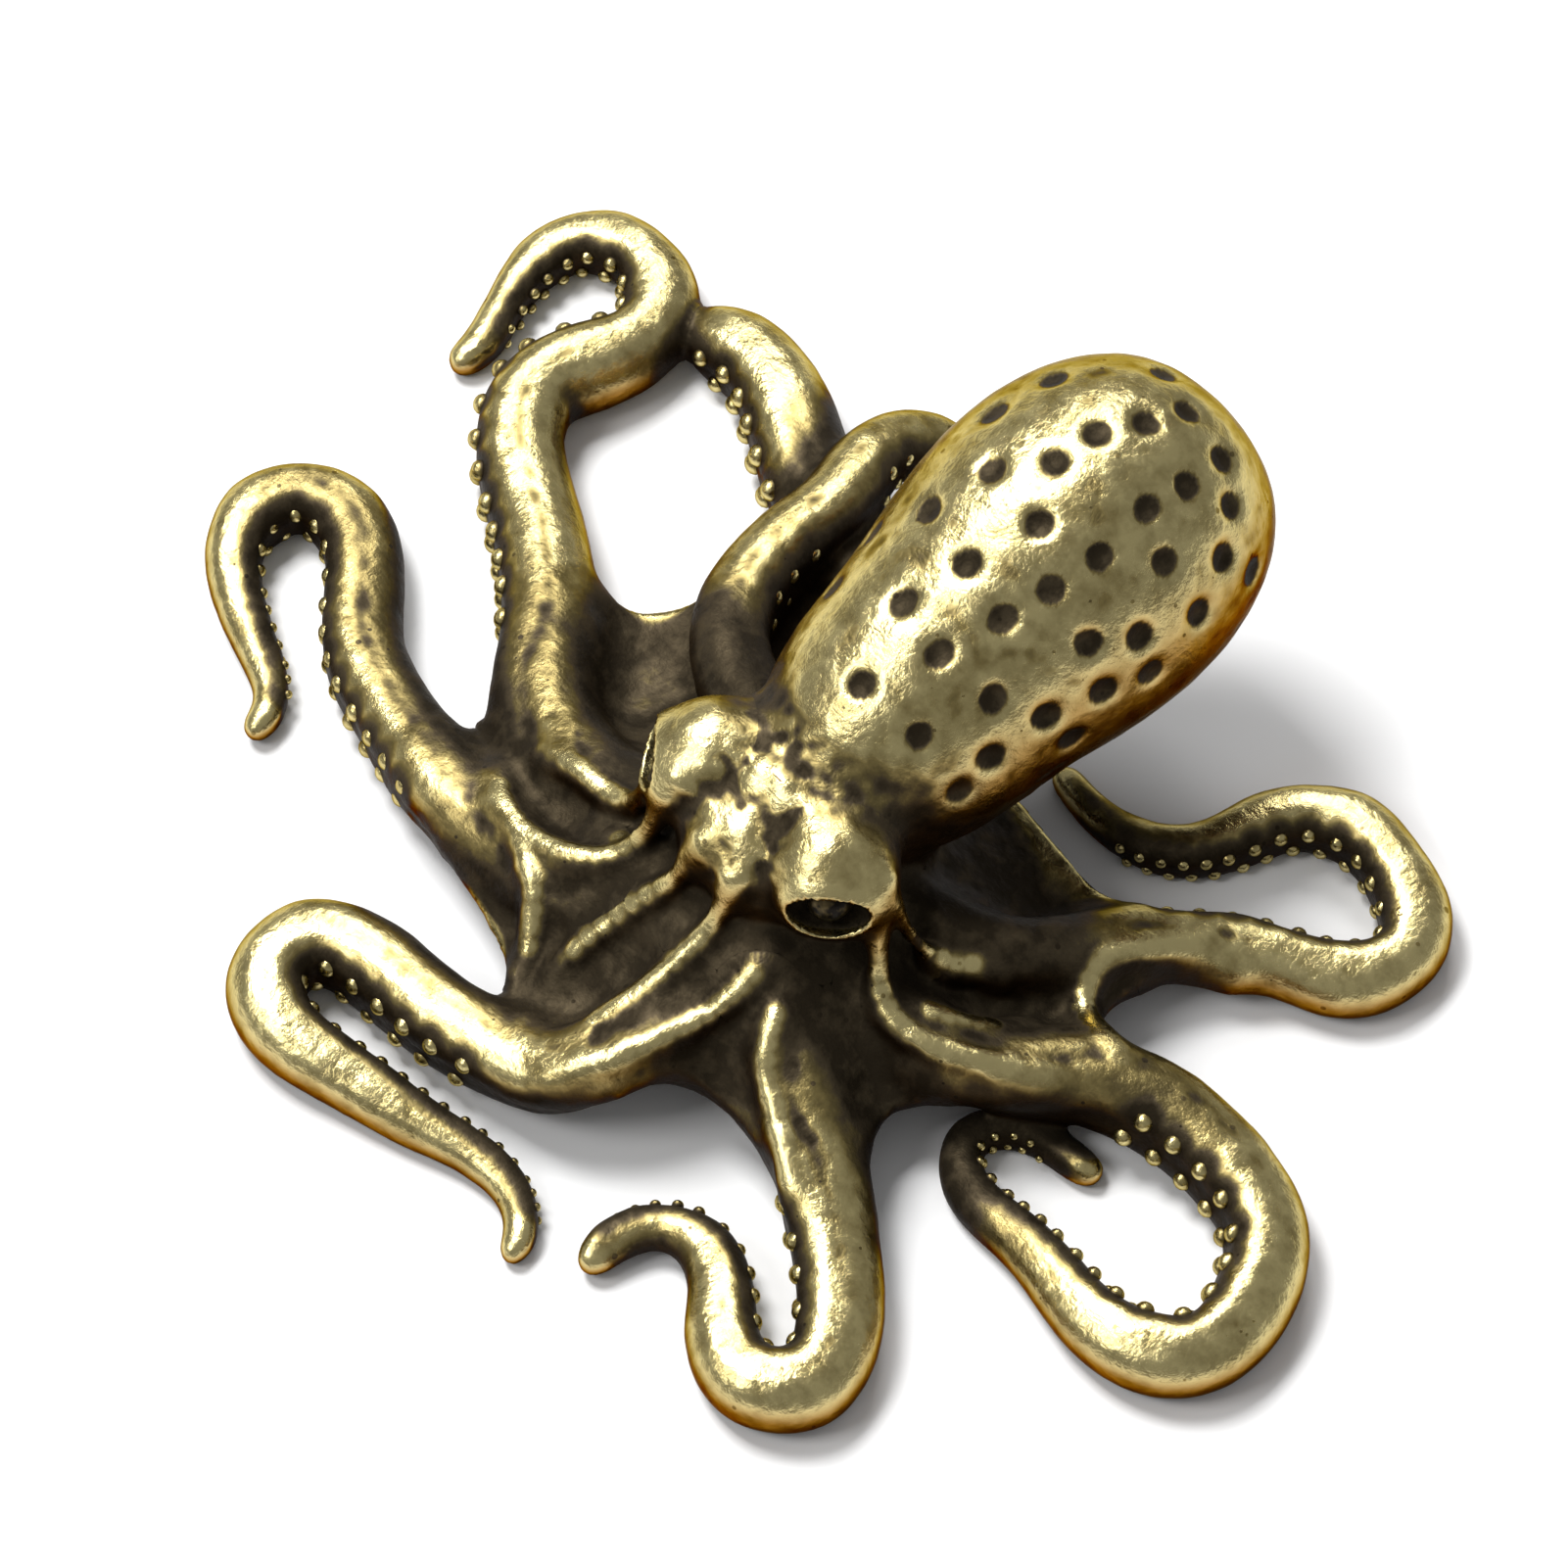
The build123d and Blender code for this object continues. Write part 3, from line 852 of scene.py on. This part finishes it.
        # Polish is kept low near the brow below a height, and in the two given spots, so the skin
        # there stays darker.
        clear = smooth_step(*self.arm_reach, away)
        clear = np.maximum(clear, smooth_step(*self.back_height, height))
        for x, y, reach in self.dark_places:
            spot = brow[:2] + np.array((x, y))
            gap = np.linalg.norm(points[:, :2] - spot, axis=1) / reach
            above = smooth_step(*self.dark_height, height)
            clear = clear * np.maximum(smooth_step(*self.dark_share, gap), above)
        reached = smooth_step(*self.open_share, self.openness(points, normals))
        reached = reached * (self.web_polish + (1.0 - self.web_polish) * clear)
        rubbed = self.edge_polish * np.maximum(edge * clear, crest)
        reached = reached + (1.0 - reached) * rubbed
        saddle_gap = np.linalg.norm(points - brow - np.array(self.saddle), axis=1)
        off_saddle = smooth_step(*self.saddle_reach, saddle_gap)
        reached = reached * (self.saddle_polish + (1.0 - self.saddle_polish) * off_saddle)
        reached = reached * (1.0 - self.bead_darkening * ring)
        # Painted shade: skin that turns down loses its polish and goes dark.
        down = smooth_step(*self.painted_shade_turn, -normals[:, 2])
        polish = smooth_step(*self.hollow, fine) * reached * (1.0 - down)
        # The third measure sets the painted warm reflection and painted shade on skin that turns down.
        return Wear(polish, edge, smooth_step(*self.painted_reflection_facing, -normals[:, 2]))


def add_node(
    tree: bpy.types.NodeTree,
    kind: str,
    settings: dict[str, object] | None = None,
    links: dict[str | int, bpy.types.NodeSocket] | None = None,
) -> bpy.types.Node:
    """Add one shader node.

    Args:
        tree: The tree that it goes into.
        kind: Its type.
        settings: Its properties, and after "in:" its input values, by name or number.
        links: The sockets that feed its inputs.

    Returns:
        The node.
    """
    node = tree.nodes.new(kind)
    for key, value in (settings or {}).items():
        if key.startswith("in:"):
            name = key[3:]
            node.inputs[int(name) if name.isdigit() else name].default_value = value
        else:
            setattr(node, key, value)
    for key, socket in (links or {}).items():
        tree.links.new(socket, node.inputs[key])
    return node


def start_material(name: str) -> tuple[bpy.types.Material, bpy.types.NodeTree]:
    """A new material and its empty tree."""
    material = bpy.data.materials.new(name)
    material.use_nodes = True
    material.node_tree.nodes.clear()
    return material, material.node_tree


def set_ramp(node: bpy.types.Node, stops: list[tuple[float, tuple[float, ...]]]) -> None:
    """Give a colour ramp its stops.

    Args:
        node: The ramp.
        stops: Each stop's place from 0 to 1, and its linear colour.
    """
    ramp = node.color_ramp
    while len(ramp.elements) > 1:
        ramp.elements.remove(ramp.elements[-1])
    ramp.elements[0].position, ramp.elements[0].color = stops[0]
    for place, colour in stops[1:]:
        ramp.elements.new(place).color = colour


@dataclass(frozen=True)
class PatinatedBrassAndPaintedShade:
    """Yellow brass, cast, blackened with a chemical patina and polished back on the high places.

    Gives the eye pale gold crests, olive flanks and umber hollows, a painted warm reflection and
    painted shade where the skin turns down, polishing scratches and small casting pits. The
    mottle's lumps are about 0.9 mm across, the clouds 3 mm, and the pits under 0.7 mm apart. The
    scratches are 2.4 mm long and a quarter of one wide: real ones are finer, and these are as
    coarse as shows.
    """

    name: str
    black: str = "#2b251c"
    umber: str = "#4a4132"
    olive: str = "#6d613f"
    gold: str = "#a08f5c"
    pale: str = "#d8c98f"
    rim: str = "#9c8857"
    # Painted warm reflection and painted shade, multiplied into the colour where the skin turns down.
    painted_reflection_and_shade: str = "#a67c46"
    crest_roughness: float = 0.22
    hollow_roughness: float = 0.47
    hollow_metallic: float = 0.4
    noise_roughness: float = 0.62
    mottle_per_metre: float = 1100.0
    clouds_per_metre: float = 330.0
    pits_per_metre: float = 1500.0
    scratches_per_metre: float = 420.0

    def build(self) -> bpy.types.Material:
        """Make the material."""
        material, tree = start_material(self.name)
        place = add_node(tree, "ShaderNodeTexCoord").outputs["Object"]
        mottle, cloud = (
            add_node(
                tree, "ShaderNodeTexNoise",
                {"in:Scale": scale, "in:Detail": detail, "in:Roughness": self.noise_roughness},
                {"Vector": place},
            ).outputs["Fac"]
            for scale, detail in ((self.mottle_per_metre, 6.0), (self.clouds_per_metre, 3.0))
        )
        pits = self.pits(tree, place)
        wear = self.wear(tree, mottle, cloud, pits)
        rough, metal = (
            add_node(
                tree, "ShaderNodeMapRange",
                {"in:From Min": low, "in:From Max": high, "in:To Min": hollow, "in:To Max": crest},
                {"Value": wear},
            ).outputs["Result"]
            for low, high, hollow, crest in (
                (0.25, 0.8, self.hollow_roughness, self.crest_roughness),
                (0.15, 0.5, self.hollow_metallic, 1.0),
            )
        )
        scuff = add_node(
            tree, "ShaderNodeMath",
            {"operation": "MULTIPLY_ADD", "in:1": 0.3, "in:2": -0.15}, {0: mottle},
        ).outputs["Value"]
        scuffed = add_node(tree, "ShaderNodeMath", {"operation": "ADD"}, {0: rough, 1: scuff})
        shader = add_node(
            tree, "ShaderNodeBsdfPrincipled",
            {"in:Specular IOR Level": 0.2, "in:Specular Tint": linear(self.rim)},
            {"Base Color": self.colour(tree, wear), "Roughness": scuffed.outputs["Value"],
             "Metallic": metal, "Normal": self.relief(tree, place, mottle, pits)},
        )
        add_node(tree, "ShaderNodeOutputMaterial", {}, {"Surface": shader.outputs["BSDF"]})
        return material

    def pits(self, tree: bpy.types.NodeTree, place: bpy.types.NodeSocket) -> bpy.types.NodeSocket:
        """Small round casting pits under a millimetre apart, some larger than others.

        Args:
            tree: The material's tree.
            place: Object coordinates.

        Returns:
            One in a pit and zero elsewhere.
        """
        cells = add_node(
            tree, "ShaderNodeTexVoronoi", {"in:Scale": self.pits_per_metre}, {"Vector": place}
        )
        size = add_node(
            tree, "ShaderNodeMapRange",
            {"in:From Min": 0.55, "in:From Max": 1.0, "in:To Min": 0.0, "in:To Max": 0.24},
            {"Value": cells.outputs["Color"]},
        ).outputs["Result"]
        inside = add_node(
            tree, "ShaderNodeMath", {"operation": "LESS_THAN"},
            {0: cells.outputs["Distance"], 1: size},
        )
        return inside.outputs["Value"]

    def wear(
        self, tree: bpy.types.NodeTree, mottle: bpy.types.NodeSocket, cloud: bpy.types.NodeSocket,
        pits: bpy.types.NodeSocket,
    ) -> bpy.types.NodeSocket:
        """Add up the polish, the edges and the unevenness of both into one measure.

        Args:
            tree: The material's tree.
            mottle: Fine noise.
            cloud: Coarse noise.
            pits: One in a pit and zero elsewhere.

        Returns:
            The sum, near 0 in black hollows and 1 on bright crests.
        """
        polish, edge = (
            add_node(tree, "ShaderNodeAttribute", {"attribute_name": name}).outputs["Fac"]
            for name in ("polish", "edge")
        )
        total: bpy.types.NodeSocket | None = None
        for part, share in ((polish, 0.68), (edge, 0.1), (mottle, 0.62), (cloud, 0.42), (pits, -0.25)):
            total = add_node(
                tree, "ShaderNodeMath",
                {"operation": "MULTIPLY_ADD", "in:1": share, "in:2": -0.4},
                {0: part} if total is None else {0: part, 2: total},
            ).outputs["Value"]
        return total

    def colour(self, tree: bpy.types.NodeTree, wear: bpy.types.NodeSocket) -> bpy.types.NodeSocket:
        """From black in the hollows to pale gold, with a painted warm reflection and painted shade
        where the skin turns down.

        Args:
            tree: The material's tree.
            wear: The measure that wear() gives.

        Returns:
            The colour.
        """
        ramp = add_node(tree, "ShaderNodeValToRGB", {}, {"Fac": wear})
        set_ramp(ramp, [
            (0.1, linear(self.black)), (0.28, linear(self.umber)), (0.45, linear(self.olive)),
            (0.62, linear(self.gold)), (0.86, linear(self.pale)),
        ])
        # Painted warm reflection and painted shade: the colour is multiplied by a warm brown where the
        # skin turns down.
        under = add_node(tree, "ShaderNodeAttribute", {"attribute_name": "under"}).outputs["Fac"]
        amount = add_node(
            tree, "ShaderNodeMath", {"operation": "MULTIPLY", "in:1": 0.95}, {0: under}
        ).outputs["Value"]
        tint = add_node(
            tree, "ShaderNodeMix",
            {"data_type": "RGBA", "blend_type": "MULTIPLY", "in:7": linear(self.painted_reflection_and_shade)},
            {0: amount, 6: ramp.outputs["Color"]},
        )
        return tint.outputs[2]

    def relief(
        self, tree: bpy.types.NodeTree, place: bpy.types.NodeSocket, mottle: bpy.types.NodeSocket,
        pits: bpy.types.NodeSocket,
    ) -> bpy.types.NodeSocket:
        """Grain, scratches and pits too small for the mesh, laid over one another.

        Args:
            tree: The material's tree.
            place: Object coordinates.
            mottle: Fine noise, which is the grain.
            pits: One in a pit and zero elsewhere.

        Returns:
            The bumped normal.
        """
        along = add_node(
            tree, "ShaderNodeMapping", {"in:Rotation": (0.4, 0.2, 0.8), "in:Scale": (1.0, 9.0, 9.0)},
            {"Vector": place},
        ).outputs["Vector"]
        scratches = add_node(
            tree, "ShaderNodeTexNoise",
            {"in:Scale": self.scratches_per_metre, "in:Detail": 3.0,
             "in:Roughness": self.noise_roughness},
            {"Vector": along},
        ).outputs["Fac"]
        normal: bpy.types.NodeSocket | None = None
        for height, strength, depth, sunk in (
            (mottle, 0.8, 0.12 * MM, False), (scratches, 0.35, 0.03 * MM, False),
            (pits, 0.5, 0.05 * MM, True),
        ):
            normal = add_node(
                tree, "ShaderNodeBump",
                {"invert": sunk, "in:Strength": strength, "in:Distance": depth},
                {"Height": height} if normal is None else {"Height": height, "Normal": normal},
            ).outputs["Normal"]
        return normal


@dataclass(frozen=True)
class BlackenedBrass:
    """Brass left dark by the patina, as on the pellets deep in the eye sockets."""

    name: str
    dark: str = "#16120e"
    worn: str = "#6f6040"

    def build(self) -> bpy.types.Material:
        """Make the material."""
        material, tree = start_material(self.name)
        place = add_node(tree, "ShaderNodeTexCoord").outputs["Object"]
        mottle = add_node(
            tree, "ShaderNodeTexNoise",
            {"in:Scale": 1400.0, "in:Detail": 4.0, "in:Roughness": 0.6}, {"Vector": place},
        ).outputs["Fac"]
        ramp = add_node(tree, "ShaderNodeValToRGB", {}, {"Fac": mottle})
        set_ramp(ramp, [(0.45, linear(self.dark)), (0.75, linear(self.worn))])
        bump = add_node(
            tree, "ShaderNodeBump", {"in:Strength": 0.4, "in:Distance": 0.00008}, {"Height": mottle}
        ).outputs["Normal"]
        shader = add_node(
            tree, "ShaderNodeBsdfPrincipled",
            {"in:Metallic": 0.9, "in:Roughness": 0.3},
            {"Base Color": ramp.outputs["Color"], "Normal": bump},
        )
        add_node(tree, "ShaderNodeOutputMaterial", {}, {"Surface": shader.outputs["BSDF"]})
        return material


@dataclass
class BeadRows:
    """The suckers: small domed beads, one closed form a bead, seated where the CAD has them.

    The outline and the polish are given in shares of a bead's radius.
    """

    sides: int = 12
    polish_from: float = -0.15
    polish_rise: float = 0.6
    outline_shares: tuple[tuple[float, float], ...] = (
        (0.0, -0.8), (0.7, -0.66), (0.97, -0.1), (0.9, 0.36), (0.66, 0.7), (0.34, 0.88), (0.0, 0.93),
    )

    def islands(self, mesh: bpy.types.Mesh) -> list[tuple[np.ndarray, float]]:
        """Find the balls in a CAD node.

        Args:
            mesh: The node's mesh, in metres.

        Returns:
            Each ball's middle and radius in millimetres.
        """
        bm = bmesh.new()
        bm.from_mesh(mesh)
        bmesh.ops.remove_doubles(bm, verts=bm.verts, dist=1e-6)
        seen: set[int] = set()
        out = []
        for vert in bm.verts:
            if vert.index in seen:
                continue
            stack, group = [vert], []
            seen.add(vert.index)
            while stack:
                one = stack.pop()
                group.append(one.co[:])
                for edge in one.link_edges:
                    other = edge.other_vert(one)
                    if other.index not in seen:
                        seen.add(other.index)
                        stack.append(other)
            spots = np.array(group) / MM
            low, high = spots.min(0), spots.max(0)
            out.append(((low + high) / 2, float((high - low).mean() / 2)))
        bm.free()
        return out

    def bead(self, radius: float) -> bmesh.types.BMesh:
        """One bead about the origin, facing +Z, with its polish rising from foot to top."""
        bm = bmesh.new()
        worn = bm.verts.layers.float.new("polish")
        outline = [(r * radius * MM, 0.0, h * radius * MM) for r, h in self.outline_shares]
        verts = [bm.verts.new(spot) for spot in outline]
        edges = [bm.edges.new(pair) for pair in zip(verts, verts[1:])]
        bmesh.ops.spin(
            bm, geom=verts + edges, axis=(0, 0, 1), cent=(0, 0, 0), steps=self.sides,
            angle=math.tau, use_merge=True, use_duplicate=False,
        )
        bmesh.ops.remove_doubles(bm, verts=bm.verts, dist=1e-7)
        for vert in bm.verts:
            height = vert.co.z / (radius * MM)
            vert[worn] = min(1.0, max(0.0, (height - self.polish_from) / self.polish_rise))
        bmesh.ops.recalc_face_normals(bm, faces=bm.faces)
        return bm

    def build(
        self, name: str, spots: list[tuple[np.ndarray, float]], outward: np.ndarray
    ) -> bpy.types.Object:
        """Model one arm's beads.

        Args:
            name: The piece's name.
            spots: Each bead's middle and radius in millimetres.
            outward: The way each bead faces, as unit vectors.

        Returns:
            The beads as one object.
        """
        mesh = bpy.data.meshes.new(name)
        whole = bmesh.new()
        for (middle, radius), way in zip(spots, outward):
            bm = self.bead(radius)
            turn = Vector((0, 0, 1)).rotation_difference(Vector(way)).to_matrix().to_4x4()
            bmesh.ops.transform(
                bm, matrix=Matrix.Translation(Vector(middle * MM)) @ turn, verts=bm.verts
            )
            bm.to_mesh(mesh)
            bm.free()
            whole.from_mesh(mesh)
        for face in whole.faces:
            face.smooth = True
        whole.to_mesh(mesh)
        whole.free()
        return add_object(name, mesh)


@dataclass
class EyePellet:
    """The dark ball in an eye socket, slightly uneven as cast."""

    sides: int = 32
    seat: float = 0.97
    lump: float = 0.5
    lump_seed: int = 11
    unevenness: float = 0.03

    def build(self, name: str, middle: Vector, radius: float) -> bpy.types.Object:
        """Model one pellet.

        Args:
            name: The piece's name.
            middle: Its middle in metres.
            radius: Its radius in metres.

        Returns:
            The pellet.
        """
        bm = bmesh.new()
        bmesh.ops.create_uvsphere(
            bm, u_segments=self.sides, v_segments=self.sides // 2, radius=radius * self.seat
        )
        spots = np.array([v.co[:] for v in bm.verts]) / MM
        relief = lumps(spots + np.array(middle) / MM, self.lump, self.lump_seed)
        for vert, amount in zip(bm.verts, relief):
            vert.co *= 1.0 + self.unevenness * amount
        bmesh.ops.translate(bm, vec=middle, verts=bm.verts)
        for face in bm.faces:
            face.smooth = True
        mesh = bpy.data.meshes.new(name)
        bm.to_mesh(mesh)
        bm.free()
        return add_object(name, mesh)


@dataclass(frozen=True)
class SoftBox:
    """One square lamp that faces the ornament.

    Args:
        name: What it is for.
        azimuth: Degrees round from the face, towards the right of the picture.
        elevation: Degrees up from the floor.
        distance: How far off it hangs, in metres.
        size: Its side in metres.
        watts: Its power.
    """

    name: str
    azimuth: float
    elevation: float
    distance: float
    size: float
    watts: float


@dataclass
class Studio:
    """The pale floor, the soft lamps and the camera at the photograph's angle, in metres."""

    azimuth: float = 47.5
    elevation: float = 57.0
    distance: float = 0.38
    lens: float = 239.25
    sensor: float = 36.0
    nearest_seen: float = 0.01
    target: tuple[float, float, float] = (0.000299, -0.000181, 0.0065)
    floor_colour: str = "#ffffff"
    floor_roughness: float = 0.9
    floor_half_side: float = 1.5
    room_light: float = 0.3
    lamps: tuple[SoftBox, ...] = (
        SoftBox("key", 272.0, 60.0, 0.6, 0.22, 3.4),
        SoftBox("fill", 335.0, 48.0, 0.7, 0.25, 1.3),
        SoftBox("back", 225.0, 45.0, 0.7, 0.2, 1.3),
    )

    def aim(self, thing: bpy.types.Object, azimuth: float, elevation: float, distance: float) -> None:
        """Stand a camera or lamp off the ornament and turn it to face it.

        Args:
            thing: The camera or lamp.
            azimuth: Degrees round from the face.
            elevation: Degrees up from the floor.
            distance: How far off it stands.
        """
        back = facing_back(azimuth, elevation)
        thing.location = Vector(self.target) + back * distance
        thing.rotation_euler = back.to_track_quat("Z", "Y").to_euler()

    def camera(self) -> None:
        """Stand the camera where the photograph was taken from."""
        data = bpy.data.cameras.new("camera")
        data.lens = self.lens
        data.sensor_width = self.sensor
        data.clip_start = self.nearest_seen
        thing = add_object("camera", data)
        self.aim(thing, self.azimuth, self.elevation, self.distance)
        bpy.context.scene.camera = thing

    def hang(self, box: SoftBox) -> None:
        """Hang one soft box."""
        data = bpy.data.lights.new(box.name, "AREA")
        data.size = box.size
        data.energy = box.watts
        self.aim(add_object(box.name, data), box.azimuth, box.elevation, box.distance)

    def floor(self) -> bpy.types.Object:
        """Lay the white paper that the ornament stands on."""
        bm = bmesh.new()
        bmesh.ops.create_grid(bm, x_segments=1, y_segments=1, size=self.floor_half_side)
        mesh = bpy.data.meshes.new("floor")
        bm.to_mesh(mesh)
        bm.free()
        material, tree = start_material("matt_white_paper")
        shader = add_node(
            tree, "ShaderNodeBsdfPrincipled",
            {"in:Base Color": linear(self.floor_colour), "in:Roughness": self.floor_roughness},
        )
        add_node(tree, "ShaderNodeOutputMaterial", {}, {"Surface": shader.outputs["BSDF"]})
        mesh.materials.append(material)
        return add_object("floor", mesh)

    def world(self) -> None:
        """Light the room evenly and softly."""
        world = bpy.data.worlds.new("studio")
        bpy.context.scene.world = world
        world.use_nodes = True
        tree = world.node_tree
        tree.nodes.clear()
        shade = add_node(
            tree, "ShaderNodeBackground",
            {"in:Color": (1.0, 1.0, 1.0, 1.0), "in:Strength": self.room_light},
        )
        add_node(tree, "ShaderNodeOutputWorld", {}, {"Surface": shade.outputs["Background"]})

    def build(self) -> None:
        """Set up everything round the ornament, with colours shown as they are written."""
        bpy.context.scene.view_settings.view_transform = "Standard"
        self.camera()
        self.world()
        self.floor()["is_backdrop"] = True
        for box in self.lamps:
            self.hang(box)


def skin_object(
    name: str, points: np.ndarray, faces: np.ndarray, normals: np.ndarray, wear: Wear
) -> bpy.types.Object:
    """Make one piece of the casting as an object.

    Args:
        name: The piece's name.
        points: Its points in millimetres.
        faces: Its four-sided faces.
        normals: The skin's own direction at each point.
        wear: The wear at each point, with painted shade and a painted warm reflection.

    Returns:
        The object.
    """
    mesh = bpy.data.meshes.new(name)
    mesh.from_pydata((points * MM).tolist(), [], faces.tolist())
    mesh.shade_smooth()
    # The under measure carries the painted warm reflection and painted shade.
    for key, values in (("polish", wear.polish), ("edge", wear.edge), ("under", wear.under)):
        layer = mesh.attributes.new(key, "FLOAT", "POINT")
        layer.data.foreach_set("value", values.astype(np.float32))
    mesh.normals_split_custom_set_from_vertices(normals.tolist())
    return add_object(name, mesh)


def main() -> None:
    """Build every piece in order and dress it."""
    logging.basicConfig(level=logging.INFO)
    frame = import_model()
    nodes = frame["nodes"]
    brass = PatinatedBrassAndPaintedShade("patinated_brass_painted_shade").build()
    dark = BlackenedBrass("blackened_brass").build()

    casting = Casting(nodes)
    casting.build()

    rows = BeadRows()
    spots = {name: rows.islands(nodes[f"suckers_{name}"].data) for name in ARM_NAMES}
    middles = [middle for group in spots.values() for middle, _ in group]
    patina = PatinaAndPaintedShade(casting, middles)

    for name, points, faces in casting.pieces():
        normals = casting.grid.slope(casting.total, points)
        wear = patina.at(points, normals)
        piece = skin_object(f"cast_{name}", points, faces, normals, wear)
        piece.data.materials.append(brass)
        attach(piece, BODY)
        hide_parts(name)
        log.info("%s: %d faces", piece.name, len(faces))

    for name, group in spots.items():
        places = np.array([middle for middle, _ in group])
        outward = casting.grid.slope(casting.node_field(f"arm_{name}"), places)
        piece = rows.build(f"beads_{name}", group, outward)
        piece.data.materials.append(brass)
        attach(piece, BODY)
        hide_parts(f"suckers_{name}")
        log.info("%s: %d beads", piece.name, len(group))

    for name in ("eye_left", "eye_right"):
        low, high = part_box(name)
        piece = EyePellet().build(f"pellet_{name}", (low + high) / 2, (high - low).x / 2)
        piece.data.materials.append(dark)
        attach(piece, BODY)
        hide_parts(name)
        log.info("%s", piece.name)

    Studio().build()


if __name__ == "__main__":
    main()
